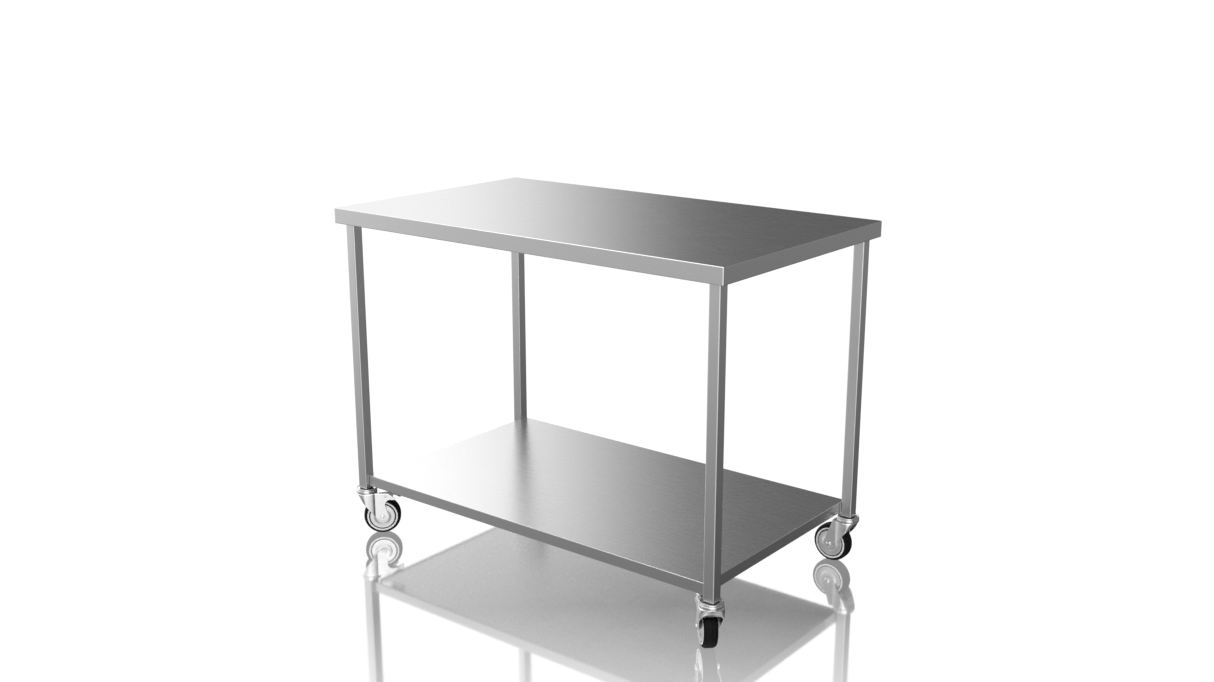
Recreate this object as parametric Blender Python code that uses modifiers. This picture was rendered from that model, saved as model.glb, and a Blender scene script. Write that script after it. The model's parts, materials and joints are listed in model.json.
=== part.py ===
"""Stainless work table on four swivel castors, the front two with brakes.

Metres, +Z up, the length along X, the front towards -Y, the origin on the floor under the
middle of the worktop. Each castor is modelled about its swivel axis, with its wheel trailing
along +X, and then turned to the direction in which it stands.
"""

import math

import bmesh
import bpy
from mathutils import Matrix, Vector

GAP = 0.0003  # between pieces that touch

# Worktop: one folded sheet
TOP_LENGTH = 1.200
TOP_DEPTH = 0.700
TABLE_HEIGHT = 0.900
TOP_EDGE = 0.040
TOP_LIP = 0.012
TOP_SHEET = 0.0015
BEND_RADIUS = 0.0025

# Legs and the frame of rails that joins them under the worktop
LEG_SIZE = 0.030
LEG_INSET = 0.020
LEG_BOTTOM = 0.1325
RAIL_SIZE = 0.025
TUBE_WALL = 0.0015
TUBE_CORNER = 0.0025

# Hat channel that stiffens the worktop
HAT_DEPTH = 0.024
HAT_CROWN = 0.060
HAT_FLANGE = 0.020

# Lower shelf: a folded sheet with a flat panel under it
SHELF_TOP = 0.170
SHELF_EDGE = 0.030
SHELF_LIP = 0.010
SHELF_SHEET = 0.0012
SHELF_SETBACK = 0.010
PANEL_CLEARANCE = 0.003

# Castor wheel
WHEEL_RADIUS = 0.050
WHEEL_TRAIL = 0.040
WHEEL_STEPS = 24
TYRE_HALF_WIDTH = 0.0168
TYRE_INNER_RADIUS = 0.0416
TREAD_HALF_WIDTH = 0.0070
SHOULDER_DROP = 0.0075
RIM_HALF_WIDTH = 0.0173
RIM_RADIUS = TYRE_INNER_RADIUS - GAP
RIM_INNER_RADIUS = 0.0370
WEB_HALF_THICKNESS = 0.006
HUB_RADIUS = 0.008
HUB_HALF_LENGTH = 0.0212
AXLE_RADIUS = 0.004
BOLT_HEAD_RADIUS = 0.0072
AXLE_NUT_CORNER = 0.0078
AXLE_NUT_HEIGHT = 0.0045
GUARD_RADIUS = 0.0335
GUARD_BOSS_RADIUS = 0.019
GUARD_BOSS_FACE = 0.0203
GUARD_EDGE_FACE = 0.0164
GUARD_SHEET = 0.0012

# Castor head, from the fork's crown up to the leg
CROWN_TOP = 0.1195
CROWN_RADIUS = 0.0295
FORK_SHEET = 0.0025
CHEEK_FACE = 0.024
CREASE_X = 0.022
HEAD_RADIUS = 0.0285
DISH_RADIUS = 0.027
NECK_RADIUS = 0.0256
HEAD_STEPS = 20
BOLT_STEPS = 12
HEAD_BOTTOM = 0.1218
DISH_TOP = 0.1316
DISH_FLOOR = 0.1302
BALL_RING_RADIUS = 0.0203
BALL_RADIUS = 0.0023
KINGPIN_RADIUS = 0.006
KINGPIN_BORE = 0.0063
INSERT_TOP = 0.160

# Brake on the front castors
PEDAL_PIVOT = (0.050, 0.110)
PEDAL_HALF_WIDTH = 0.020
PEDAL_SHEET = 0.002
WEB_HALF_WIDTH = 0.010
PIN_RADIUS = 0.003

# Direction in which each wheel trails, in degrees from +X towards +Y, and whether it has a brake
CASTORS = {
    "front_left": (-1, -1, 45.0, True),
    "front_right": (1, -1, 135.0, True),
    "back_left": (-1, 1, 0.0, False),
    "back_right": (1, 1, 180.0, False),
}

LEG_X = TOP_LENGTH / 2 - LEG_INSET - LEG_SIZE / 2
LEG_Y = TOP_DEPTH / 2 - LEG_INSET - LEG_SIZE / 2
FRAME_TOP = TABLE_HEIGHT - TOP_SHEET - GAP
SMOOTH_BELOW = math.radians(40)


# ---------------------------------------------------------------- scene and materials


def clear_scene():
    for obj in list(bpy.data.objects):
        bpy.data.objects.remove(obj)


def new_collection(name):
    collection = bpy.data.collections.new(name)
    bpy.context.scene.collection.children.link(collection)
    return collection


def new_material(name, colour, roughness, metallic):
    material = bpy.data.materials.new(name)
    material.use_nodes = True
    shader = material.node_tree.nodes["Principled BSDF"]
    shader.inputs["Base Color"].default_value = (*colour, 1.0)
    shader.inputs["Roughness"].default_value = roughness
    shader.inputs["Metallic"].default_value = metallic
    material.diffuse_color = (*colour, 1.0)
    return material


clear_scene()
PARTS = new_collection("work_table")
CUTTERS = new_collection("cutters")

SATIN_STEEL = new_material("satin_stainless", (0.62, 0.62, 0.63), 0.30, 1.0)
HIDDEN_STEEL = new_material("frame_steel", (0.50, 0.50, 0.52), 0.40, 1.0)
BRIGHT_STEEL = new_material("bright_zinc_steel", (0.74, 0.75, 0.76), 0.25, 1.0)
GUARD_STEEL = new_material("thread_guard_steel", (0.68, 0.68, 0.69), 0.35, 1.0)
RUBBER = new_material("black_rubber", (0.015, 0.015, 0.016), 0.55, 0.0)
WHITE_PLASTIC = new_material("white_polyamide", (0.82, 0.82, 0.82), 0.40, 0.0)
DARK_PLASTIC = new_material("dark_polyamide", (0.05, 0.05, 0.05), 0.50, 0.0)


# ---------------------------------------------------------------- objects and helpers


def place(name, mesh, material, parent=None, location=(0, 0, 0), rotation=(0, 0, 0)):
    """Puts a mesh into the table as the named part."""
    if not mesh.materials:
        mesh.materials.append(material)
    obj = bpy.data.objects.new(name, mesh)
    obj.location = location
    obj.rotation_euler = rotation
    obj.parent = parent
    PARTS.objects.link(obj)
    return obj


def add_empty(name, parent=None, location=(0, 0, 0), rotation=(0, 0, 0)):
    empty = bpy.data.objects.new(name, None)
    empty.empty_display_size = 0.03
    empty.location = location
    empty.rotation_euler = rotation
    empty.parent = parent
    PARTS.objects.link(empty)
    return empty


def helper(name, mesh):
    """An object that only shapes others, as a cutter or as a blank."""
    obj = bpy.data.objects.new(name, mesh)
    obj.hide_render = True
    obj.display_type = "WIRE"
    CUTTERS.objects.link(obj)
    return obj


def baked(obj):
    """The mesh that an object's modifiers make. The object is removed."""
    graph = bpy.context.evaluated_depsgraph_get()
    mesh = bpy.data.meshes.new_from_object(obj.evaluated_get(graph))
    mesh.name = obj.name
    bpy.data.objects.remove(obj)
    return mesh


def smoothed(mesh):
    mesh.shade_smooth()
    mesh.set_sharp_from_angle(angle=SMOOTH_BELOW)
    return mesh


def boolean(obj, operation, other):
    modifier = obj.modifiers.new(f"{operation.lower()} {other.name}", "BOOLEAN")
    modifier.operation = operation
    modifier.object = other


def bevel(obj, width, segments):
    modifier = obj.modifiers.new("bevel", "BEVEL")
    modifier.width = width
    modifier.segments = segments
    modifier.limit_method = "ANGLE"
    modifier.angle_limit = math.radians(50)


def solidify(obj, thickness):
    modifier = obj.modifiers.new("solidify", "SOLIDIFY")
    modifier.thickness = thickness
    modifier.offset = -1.0
    modifier.use_even_offset = True


def arc(centre, radius, start, end, steps):
    """Points of an arc from one angle to another, in degrees."""
    points = []
    for step in range(steps + 1):
        angle = math.radians(start + (end - start) * step / steps)
        points.append((centre[0] + radius * math.cos(angle), centre[1] + radius * math.sin(angle)))
    return points


def circle(centre, radius, steps):
    return arc(centre, radius, 0, 360 * (steps - 1) / steps, steps - 1)


def mirrored(points):
    """A half outline and its mirror image across the first axis, as one loop."""
    return points + [(x, -y) for x, y in reversed(points)]


def prism(name, outlines, low, high):
    """A flat outline, with any holes as further outlines, between two heights."""
    curve = bpy.data.curves.new(name, "CURVE")
    curve.dimensions = "2D"
    curve.fill_mode = "BOTH"
    curve.extrude = (high - low) / 2
    for outline in outlines:
        spline = curve.splines.new("POLY")
        spline.points.add(len(outline) - 1)
        for point, (x, y) in zip(spline.points, outline):
            point.co = (x, y, 0.0, 1.0)
        spline.use_cyclic_u = True
    obj = bpy.data.objects.new(name, curve)
    CUTTERS.objects.link(obj)
    mesh = baked(obj)
    bpy.data.curves.remove(curve)
    bm = bmesh.new()
    bm.from_mesh(mesh)
    bmesh.ops.remove_doubles(bm, verts=bm.verts, dist=1e-6)
    bmesh.ops.translate(bm, verts=bm.verts, vec=(0, 0, (low + high) / 2))
    bm.to_mesh(mesh)
    bm.free()
    return mesh


def side_prism(name, outlines, half_width):
    """A prism whose outline lies in the XZ plane and which runs across Y."""
    mesh = prism(name, outlines, -half_width, half_width)
    mesh.transform(Matrix.Rotation(math.pi / 2, 4, "X"))
    return mesh


def turned(name, profile, steps):
    """A profile of (radius, height) points turned about Z. It runs down its outer side."""
    mesh = bpy.data.meshes.new(name)
    edges = [(i, i + 1) for i in range(len(profile) - 1)]
    if profile[0][0] > 0:
        edges.append((len(profile) - 1, 0))
    mesh.from_pydata([(radius, 0, height) for radius, height in profile], edges, [])
    obj = helper(name, mesh)
    screw = obj.modifiers.new("screw", "SCREW")
    screw.axis = "Z"
    screw.steps = steps
    screw.render_steps = steps
    screw.use_merge_vertices = True
    screw.merge_threshold = 0.00001
    return smoothed(baked(obj))


def symmetric(half):
    """A closed profile from its upper half, given from the outer side inwards."""
    return [(r, h) for r, h in reversed(half)] + [(r, -h) for r, h in half]


# ---------------------------------------------------------------- sheet and tube parts


def tray(name, length, depth, edge, lip, sheet):
    """A sheet folded down on its four sides, with a lip turned in below. Its top is at z = 0."""
    bm = bmesh.new()
    size = Matrix.Diagonal((length, depth, edge, 1))
    bmesh.ops.create_cube(bm, size=1, matrix=Matrix.Translation((0, 0, -edge / 2)) @ size)
    underside = min(bm.faces, key=lambda face: face.calc_center_median().z)
    bmesh.ops.inset_region(bm, faces=[underside], thickness=lip, use_even_offset=True)
    bmesh.ops.delete(bm, geom=[underside], context="FACES")
    mesh = bpy.data.meshes.new(name)
    bm.to_mesh(mesh)
    bm.free()
    obj = helper(name, mesh)
    bevel(obj, BEND_RADIUS, 3)
    solidify(obj, sheet)
    return smoothed(baked(obj))


def square_tube(name, size, length):
    """A square tube along Z, open at both ends, centred on the origin."""
    bm = bmesh.new()
    bmesh.ops.create_cube(bm, size=1, matrix=Matrix.Diagonal((size, size, length, 1)))
    ends = [face for face in bm.faces if abs(face.normal.z) > 0.5]
    bmesh.ops.delete(bm, geom=ends, context="FACES_ONLY")
    mesh = bpy.data.meshes.new(name)
    bm.to_mesh(mesh)
    bm.free()
    obj = helper(name, mesh)
    bevel(obj, TUBE_CORNER, 3)
    solidify(obj, TUBE_WALL)
    return smoothed(baked(obj))


def add_worktop(table):
    mesh = tray("worktop", TOP_LENGTH, TOP_DEPTH, TOP_EDGE, TOP_LIP, TOP_SHEET)
    place("worktop", mesh, SATIN_STEEL, table, (0, 0, TABLE_HEIGHT))


def add_frame(table):
    leg_length = FRAME_TOP - LEG_BOTTOM
    leg = square_tube("leg", LEG_SIZE, leg_length)
    for corner, (side_x, side_y, _, _) in CASTORS.items():
        centre = (side_x * LEG_X, side_y * LEG_Y, LEG_BOTTOM + leg_length / 2)
        place(f"leg_{corner}", leg, SATIN_STEEL, table, centre)
    rail_z = FRAME_TOP - RAIL_SIZE / 2
    long_rail = square_tube("long_rail", RAIL_SIZE, 2 * LEG_X - LEG_SIZE - 2 * GAP)
    short_rail = square_tube("short_rail", RAIL_SIZE, 2 * LEG_Y - LEG_SIZE - 2 * GAP)
    for name, side in (("front", -1), ("back", 1)):
        centre = (0, side * LEG_Y, rail_z)
        place(f"rail_{name}", long_rail, HIDDEN_STEEL, table, centre, (0, math.pi / 2, 0))
    for name, side in (("left", -1), ("right", 1)):
        centre = (side * LEG_X, 0, rail_z)
        place(f"rail_{name}", short_rail, HIDDEN_STEEL, table, centre, (math.pi / 2, 0, 0))


def add_stiffener(table):
    """A hat channel along the worktop, its two flanges against the sheet."""
    crown = HAT_CROWN / 2
    outer = crown + TUBE_WALL
    flange = outer + HAT_FLANGE
    half = [
        (outer, -TUBE_WALL),
        (flange, -TUBE_WALL),
        (flange, 0),
        (crown, 0),
        (crown, TUBE_WALL - HAT_DEPTH),
    ]
    floor = [(outer, -HAT_DEPTH)]
    loop = floor + half
    outline = loop + [(-x, z) for x, z in reversed(loop)]
    half_length = LEG_X - RAIL_SIZE / 2 - GAP
    mesh = side_prism("worktop_stiffener", [outline], half_length)
    mesh.transform(Matrix.Rotation(math.pi / 2, 4, "Z"))
    place("worktop_stiffener", mesh, HIDDEN_STEEL, table, (0, 0, FRAME_TOP))


def add_shelf(table):
    length = 2 * LEG_X - LEG_SIZE - 2 * GAP
    depth = 2 * LEG_Y + LEG_SIZE - 2 * SHELF_SETBACK
    mesh = tray("lower_shelf", length, depth, SHELF_EDGE, SHELF_LIP, SHELF_SHEET)
    place("lower_shelf", mesh, SATIN_STEEL, table, (0, 0, SHELF_TOP))
    x = length / 2 - PANEL_CLEARANCE
    y = depth / 2 - PANEL_CLEARANCE
    low = SHELF_TOP - SHELF_EDGE + SHELF_SHEET + GAP
    panel = prism("shelf_base_panel", [[(x, y), (-x, y), (-x, -y), (x, -y)]], low, low + SHELF_SHEET)
    place("shelf_base_panel", panel, SATIN_STEEL, table)


# ---------------------------------------------------------------- wheel


def tyre_mesh():
    """A rubber tread with round shoulders. Its flats, not its corners, have the wheel's radius."""
    tread = WHEEL_RADIUS / math.cos(math.pi / WHEEL_STEPS)
    spread = TYRE_HALF_WIDTH - TREAD_HALF_WIDTH
    upper = []
    for degrees in (0, 35, 65, 90):
        angle = math.radians(degrees)
        radius = tread - SHOULDER_DROP * (1 - math.cos(angle))
        upper.append((radius, TREAD_HALF_WIDTH + spread * math.sin(angle)))
    upper.append((TYRE_INNER_RADIUS, TYRE_HALF_WIDTH - GAP))
    return turned("tyre", symmetric(upper), WHEEL_STEPS)


def wheel_centre_mesh():
    """A moulded centre: rim, web and hub, with a bore for the axle."""
    upper = [
        (RIM_RADIUS, RIM_HALF_WIDTH),
        (RIM_INNER_RADIUS, RIM_HALF_WIDTH),
        (RIM_INNER_RADIUS - 0.0015, WEB_HALF_THICKNESS),
        (HUB_RADIUS, WEB_HALF_THICKNESS),
        (HUB_RADIUS, HUB_HALF_LENGTH),
        (AXLE_RADIUS + GAP, HUB_HALF_LENGTH),
    ]
    return turned("wheel_centre", symmetric(upper), WHEEL_STEPS)


def thread_guard_mesh():
    """A dished disc over the side of the wheel, facing +Z."""
    inner = HUB_RADIUS + GAP
    profile = [
        (inner, GUARD_BOSS_FACE),
        (GUARD_BOSS_RADIUS, GUARD_BOSS_FACE),
        (GUARD_RADIUS, GUARD_EDGE_FACE),
        (GUARD_RADIUS, GUARD_EDGE_FACE - GUARD_SHEET),
        (GUARD_BOSS_RADIUS - 0.0005, GUARD_BOSS_FACE - GUARD_SHEET),
        (inner, GUARD_BOSS_FACE - GUARD_SHEET),
    ]
    return turned("thread_guard", profile, WHEEL_STEPS)


def axle_bolt_mesh():
    """A bolt through both cheeks, its round head above the +Z cheek."""
    seat = CHEEK_FACE + GAP
    tail = -seat - AXLE_NUT_HEIGHT - 0.001
    profile = [
        (0, seat + 0.0034),
        (0.0055, seat + 0.0030),
        (BOLT_HEAD_RADIUS, seat + 0.0018),
        (BOLT_HEAD_RADIUS, seat),
        (AXLE_RADIUS, seat),
        (AXLE_RADIUS, tail),
        (0, tail),
    ]
    return turned("axle_bolt", profile, BOLT_STEPS)


def axle_nut_mesh():
    outer = circle((0, 0), AXLE_NUT_CORNER, 6)
    bore = circle((0, 0), AXLE_RADIUS + GAP, BOLT_STEPS)
    seat = CHEEK_FACE + GAP
    return prism("axle_nut", [outer, bore], -seat - AXLE_NUT_HEIGHT, -seat)


# ---------------------------------------------------------------- castor head


def swivel_head_mesh():
    """The fixed race: a dish under the leg, a neck, and a wide ring with the balls' groove below."""
    groove_out = BALL_RING_RADIUS + BALL_RADIUS + 0.0006
    groove_in = BALL_RING_RADIUS - BALL_RADIUS - 0.0006
    groove_top = CROWN_TOP + 2 * BALL_RADIUS + 2 * GAP
    profile = [
        (DISH_RADIUS - 0.0008, DISH_TOP),
        (DISH_RADIUS, DISH_TOP - 0.0008),
        (DISH_RADIUS, DISH_TOP - 0.0024),
        (NECK_RADIUS, DISH_TOP - 0.0032),
        (NECK_RADIUS, HEAD_BOTTOM + 0.0060),
        (HEAD_RADIUS, HEAD_BOTTOM + 0.0046),
        (HEAD_RADIUS, HEAD_BOTTOM + 0.0012),
        (HEAD_RADIUS - 0.0012, HEAD_BOTTOM),
        (groove_out, HEAD_BOTTOM),
        (groove_out, groove_top),
        (groove_in, groove_top),
        (groove_in, HEAD_BOTTOM),
        (KINGPIN_BORE, HEAD_BOTTOM),
        (KINGPIN_BORE, DISH_FLOOR),
        (DISH_RADIUS - 0.0030, DISH_FLOOR),
    ]
    return turned("swivel_head", profile, HEAD_STEPS)


def ball_ring_mesh():
    """The caged balls, as the ring that they fill."""
    centre = (BALL_RING_RADIUS, CROWN_TOP + GAP + BALL_RADIUS)
    return turned("ball_ring", arc(centre, BALL_RADIUS, 90, -210, 5), HEAD_STEPS)


def kingpin_mesh():
    """A stem from under the crown up into the leg, with a riveted collar that carries the fork."""
    collar_top = CROWN_TOP - FORK_SHEET - GAP
    profile = [
        (0, INSERT_TOP - 0.002),
        (KINGPIN_RADIUS, INSERT_TOP - 0.002),
        (KINGPIN_RADIUS, collar_top),
        (0.011, collar_top),
        (0.009, collar_top - 0.0036),
        (0, collar_top - 0.0036),
    ]
    return turned("kingpin", profile, BOLT_STEPS)


def leg_insert_mesh():
    """A square socket pressed into the leg's end, with a bore for the stem."""
    half = LEG_SIZE / 2 - TUBE_WALL - GAP
    cut = 0.0015
    corner = [(half, half - cut), (half - cut, half)]
    outline = corner + [(-x, y) for x, y in reversed(corner)]
    outline += [(-x, -y) for x, y in corner] + [(x, -y) for x, y in reversed(corner)]
    bore = circle((0, 0), KINGPIN_BORE, BOLT_STEPS)
    return prism("leg_insert", [outline, bore], DISH_FLOOR + GAP, INSERT_TOP)


# ---------------------------------------------------------------- fork


def fork_plan(radius, cheek, rear):
    """Plan of the fork: round in front, drawn in to two flat cheeks, squared off at the rear."""
    half = [(rear, cheek), (CREASE_X, cheek), (0.0145, radius * 0.92)]
    return mirrored(half + arc((0, 0), radius, 75, 165, 6))


def cheek_outline(braked):
    """Side view of the fork: the slanting skirt, the rounded end at the axle and the rear edge."""
    outline = [
        (-0.0400, 0.1300),
        (-0.0400, 0.1095),
        (-0.0245, 0.1095),
        (-0.0130, 0.0978),
        (CREASE_X, 0.0530),
    ]
    outline += arc((0.0433, 0.054), 0.012, -135, 10, 5)
    if braked:
        outline += [
            (0.0488, 0.081),
            (0.0475, 0.0886),
            (0.0525, 0.0960),
            (0.0595, 0.1000),
            (0.0665, 0.0990),
            (0.0745, 0.0995),
            (0.0775, 0.1020),
            (0.0555, CROWN_TOP - 0.0002),
            (0.0540, 0.130),
        ]
    else:
        outline += [(0.0480, 0.072), (0.0395, 0.096), (0.0345, 0.110), (0.0315, 0.119), (0.0315, 0.130)]
    return outline


def fork_mesh(braked, shared):
    """A pressed fork, cut from a hollow blank by its side view and then bored."""
    kind = "braked_fork" if braked else "fork"
    bm = bmesh.new()
    blank = prism(f"{kind}_blank", [fork_plan(CROWN_RADIUS, CHEEK_FACE, 0.098)], 0.030, CROWN_TOP)
    bm.from_mesh(blank)
    rim = [edge for edge in bm.edges if all(v.co.z > CROWN_TOP - 1e-5 for v in edge.verts)]
    rim = [edge for edge in rim if any(abs(face.normal.z) < 0.5 for face in edge.link_faces)]
    bmesh.ops.bevel(bm, geom=rim, offset=0.0022, segments=2, profile=0.5, affect="EDGES")
    bm.to_mesh(blank)
    bm.free()
    fork = helper(kind, blank)
    view = side_prism(f"{kind}_side_view", [cheek_outline(braked)], 0.050)
    boolean(fork, "DIFFERENCE", shared["hollow"])
    boolean(fork, "INTERSECT", helper(view.name, view))
    boolean(fork, "DIFFERENCE", shared["kingpin_bore"])
    boolean(fork, "DIFFERENCE", shared["axle_bore"])
    if braked:
        boolean(fork, "DIFFERENCE", shared["pedal_slot"])
        boolean(fork, "DIFFERENCE", shared["pin_bore"])
    return smoothed(baked(fork))


def fork_cutters():
    """The shapes that both kinds of fork are cut with, by what they cut."""
    inner = fork_plan(CROWN_RADIUS - FORK_SHEET, CHEEK_FACE - FORK_SHEET, 0.120)
    hollow = prism("fork_hollow", [inner], 0.020, CROWN_TOP - FORK_SHEET)
    kingpin_bore = prism("kingpin_bore", [circle((0, 0), KINGPIN_BORE, BOLT_STEPS)], 0.100, 0.130)
    axle = (WHEEL_TRAIL, WHEEL_RADIUS)
    axle_bore = side_prism("axle_bore", [circle(axle, AXLE_RADIUS + GAP, BOLT_STEPS)], 0.040)
    pin_bore = side_prism("pin_bore", [circle(PEDAL_PIVOT, PIN_RADIUS + GAP, BOLT_STEPS)], 0.040)
    slot_x, slot_y = 0.0335, CHEEK_FACE - FORK_SHEET
    slot = [(slot_x, slot_y), (slot_x, -slot_y), (0.110, -slot_y), (0.110, slot_y)]
    pedal_slot = prism("pedal_slot", [slot], 0.112, 0.130)
    meshes = {
        "hollow": hollow,
        "kingpin_bore": kingpin_bore,
        "axle_bore": axle_bore,
        "pin_bore": pin_bore,
        "pedal_slot": pedal_slot,
    }
    return {name: helper(mesh.name, mesh) for name, mesh in meshes.items()}


# ---------------------------------------------------------------- brake


def brake_pedal_mesh():
    """A bent plate for the foot, with a web below it that turns on the pin and ends in a shoe."""
    top = [(0.0355, 0.1204), (0.0560, 0.1204), (0.0800, 0.1138), (0.0915, 0.1074)]
    under = [(x - 0.0006, z - PEDAL_SHEET) for x, z in reversed(top)]
    plate = side_prism("brake_pedal", [top + under], PEDAL_HALF_WIDTH)
    web_outline = [
        (0.0440, 0.1194),
        (0.0580, 0.1192),
        (0.0700, 0.1158),
        (0.0700, 0.1035),
        (0.0680, 0.0975),
        (0.0570, 0.1015),
        (0.0500, 0.1035),
        (0.0440, 0.1060),
    ]
    pin_hole = circle(PEDAL_PIVOT, PIN_RADIUS + GAP, BOLT_STEPS)
    web = side_prism("brake_web", [web_outline, pin_hole], WEB_HALF_WIDTH)
    pedal = helper("brake_pedal", plate)
    boolean(pedal, "UNION", helper("brake_web", web))
    return smoothed(baked(pedal))


def brake_pin_mesh():
    """A plain pin, its ends flush with the cheeks."""
    end = CHEEK_FACE + GAP
    profile = [(0, end), (PIN_RADIUS, end), (PIN_RADIUS, -end), (0, -end)]
    return turned("brake_pin", profile, BOLT_STEPS)


# ---------------------------------------------------------------- assembly


def add_castor(corner, table, meshes):
    side_x, side_y, direction, braked = CASTORS[corner]
    foot = (side_x * LEG_X, side_y * LEG_Y, 0)
    place(f"leg_insert_{corner}", meshes["leg_insert"], DARK_PLASTIC, table, foot)
    place(f"kingpin_{corner}", meshes["kingpin"], BRIGHT_STEEL, table, foot)
    place(f"swivel_head_{corner}", meshes["swivel_head"], BRIGHT_STEEL, table, foot)
    place(f"ball_ring_{corner}", meshes["ball_ring"], BRIGHT_STEEL, table, foot)

    swivel = add_empty(f"swivel_axis_{corner}", table, foot, (0, 0, math.radians(direction)))
    fork = meshes["braked_fork"] if braked else meshes["fork"]
    place(f"fork_{corner}", fork, BRIGHT_STEEL, swivel)

    axle = Vector((WHEEL_TRAIL, 0, WHEEL_RADIUS))
    # The wheel's own +Z lies along the castor's -Y, and a flat of the tread is turned down.
    across = (math.pi / 2, math.pi / WHEEL_STEPS, 0)
    opposite = (-math.pi / 2, math.pi / WHEEL_STEPS, 0)
    place(f"axle_bolt_{corner}", meshes["axle_bolt"], BRIGHT_STEEL, swivel, axle, opposite)
    place(f"axle_nut_{corner}", meshes["axle_nut"], BRIGHT_STEEL, swivel, axle, opposite)
    wheel = add_empty(f"wheel_axis_{corner}", swivel, axle)
    place(f"wheel_centre_{corner}", meshes["wheel_centre"], WHITE_PLASTIC, wheel, rotation=across)
    place(f"tyre_{corner}", meshes["tyre"], RUBBER, wheel, rotation=across)
    guard = meshes["thread_guard"]
    place(f"thread_guard_near_{corner}", guard, GUARD_STEEL, wheel, rotation=across)
    place(f"thread_guard_far_{corner}", guard, GUARD_STEEL, wheel, rotation=opposite)

    if braked:
        pivot_x, pivot_z = PEDAL_PIVOT
        pivot = add_empty(f"pedal_axis_{corner}", swivel, (pivot_x, 0, pivot_z))
        back = (-pivot_x, 0, -pivot_z)
        place(f"brake_pedal_{corner}", meshes["brake_pedal"], BRIGHT_STEEL, pivot, back)
        pin_at = (pivot_x, 0, pivot_z)
        place(f"brake_pin_{corner}", meshes["brake_pin"], BRIGHT_STEEL, swivel, pin_at, opposite)


def main():
    table = add_empty("work_table")
    add_worktop(table)
    add_frame(table)
    add_stiffener(table)
    add_shelf(table)
    cutters = fork_cutters()
    meshes = {
        "leg_insert": leg_insert_mesh(),
        "kingpin": kingpin_mesh(),
        "swivel_head": swivel_head_mesh(),
        "ball_ring": ball_ring_mesh(),
        "fork": fork_mesh(False, cutters),
        "braked_fork": fork_mesh(True, cutters),
        "axle_bolt": axle_bolt_mesh(),
        "axle_nut": axle_nut_mesh(),
        "wheel_centre": wheel_centre_mesh(),
        "tyre": tyre_mesh(),
        "thread_guard": thread_guard_mesh(),
        "brake_pedal": brake_pedal_mesh(),
        "brake_pin": brake_pin_mesh(),
    }
    for corner in CASTORS:
        add_castor(corner, table, meshes)


main()
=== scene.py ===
import json
import math

import bmesh
import bpy
from mathutils import Matrix, Vector


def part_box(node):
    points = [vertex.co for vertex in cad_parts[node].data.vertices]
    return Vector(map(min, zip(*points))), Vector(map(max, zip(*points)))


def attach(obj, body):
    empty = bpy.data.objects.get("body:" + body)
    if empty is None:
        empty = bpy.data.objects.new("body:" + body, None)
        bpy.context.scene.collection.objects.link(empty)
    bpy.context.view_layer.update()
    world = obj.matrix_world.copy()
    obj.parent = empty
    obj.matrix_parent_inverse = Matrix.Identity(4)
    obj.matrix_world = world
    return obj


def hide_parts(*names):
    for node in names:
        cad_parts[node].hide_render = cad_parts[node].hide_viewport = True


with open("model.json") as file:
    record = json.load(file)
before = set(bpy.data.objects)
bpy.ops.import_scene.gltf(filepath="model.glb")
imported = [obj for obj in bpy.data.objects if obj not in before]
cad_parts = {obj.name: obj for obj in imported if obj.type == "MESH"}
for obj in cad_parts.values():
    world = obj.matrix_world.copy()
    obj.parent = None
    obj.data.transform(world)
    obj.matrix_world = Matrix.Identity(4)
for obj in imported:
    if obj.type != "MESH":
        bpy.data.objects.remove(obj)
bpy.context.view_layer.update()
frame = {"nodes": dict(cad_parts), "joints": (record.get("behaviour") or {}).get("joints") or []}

nodes = frame["nodes"]
joints = {joint["name"]: joint for joint in frame["joints"]}


# ---------------------------------------------------------------- node helpers


class Tree:
    """Short ways to add linked nodes to a material's or the world's node tree."""

    def __init__(self, owner):
        owner.use_nodes = True
        self.tree = owner.node_tree
        self.tree.nodes.clear()

    def feed(self, socket, value):
        if isinstance(value, bpy.types.NodeSocket):
            self.tree.links.new(value, socket)
        elif value is not None:
            socket.default_value = value

    def add(self, kind, inputs=None, **settings):
        node = self.tree.nodes.new(kind)
        for name, value in settings.items():
            setattr(node, name, value)
        for name, value in (inputs or {}).items():
            self.feed(node.inputs[name], value)
        return node

    def math(self, operation, *values):
        node = self.add("ShaderNodeMath", operation=operation)
        for socket, value in zip(node.inputs, values):
            self.feed(socket, value)
        return node.outputs[0]

    def ramp(self, value, low, high, out_low=0.0, out_high=1.0, smooth=True):
        """The value taken from low..high to out_low..out_high, and held beyond both ends."""
        kind = "SMOOTHSTEP" if smooth else "LINEAR"
        node = self.add("ShaderNodeMapRange", interpolation_type=kind, clamp=True)
        for socket, number in zip(node.inputs, (value, low, high, out_low, out_high)):
            self.feed(socket, number)
        return node.outputs[0]

    def mix(self, factor, a, b):
        node = self.add("ShaderNodeMix", data_type="RGBA")
        self.feed(node.inputs["Factor"], factor)
        colours = [socket for socket in node.inputs if socket.type == "RGBA"]
        for socket, value in zip(colours, (a, b)):
            self.feed(socket, value)
        return next(socket for socket in node.outputs if socket.type == "RGBA")


def grey(value):
    return (value, value, value, 1.0)


def new_material(name):
    material = bpy.data.materials.new(name)
    return material, Tree(material)


# ---------------------------------------------------------------- camera, light and floor

# Angles are in degrees, azimuths from +X towards +Y. WHITE_LEVEL, a little over white, is the background as
# the camera sees it and the floor's own light.
CAMERA_AT = (2.0931, -2.6346, 1.4750)
CAMERA_TURN = 38.19
CAMERA_DOWN = 15.05
CAMERA_LENS = 40.207
SENSOR_WIDTH = 36
WHITE_LEVEL = 1.03

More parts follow.
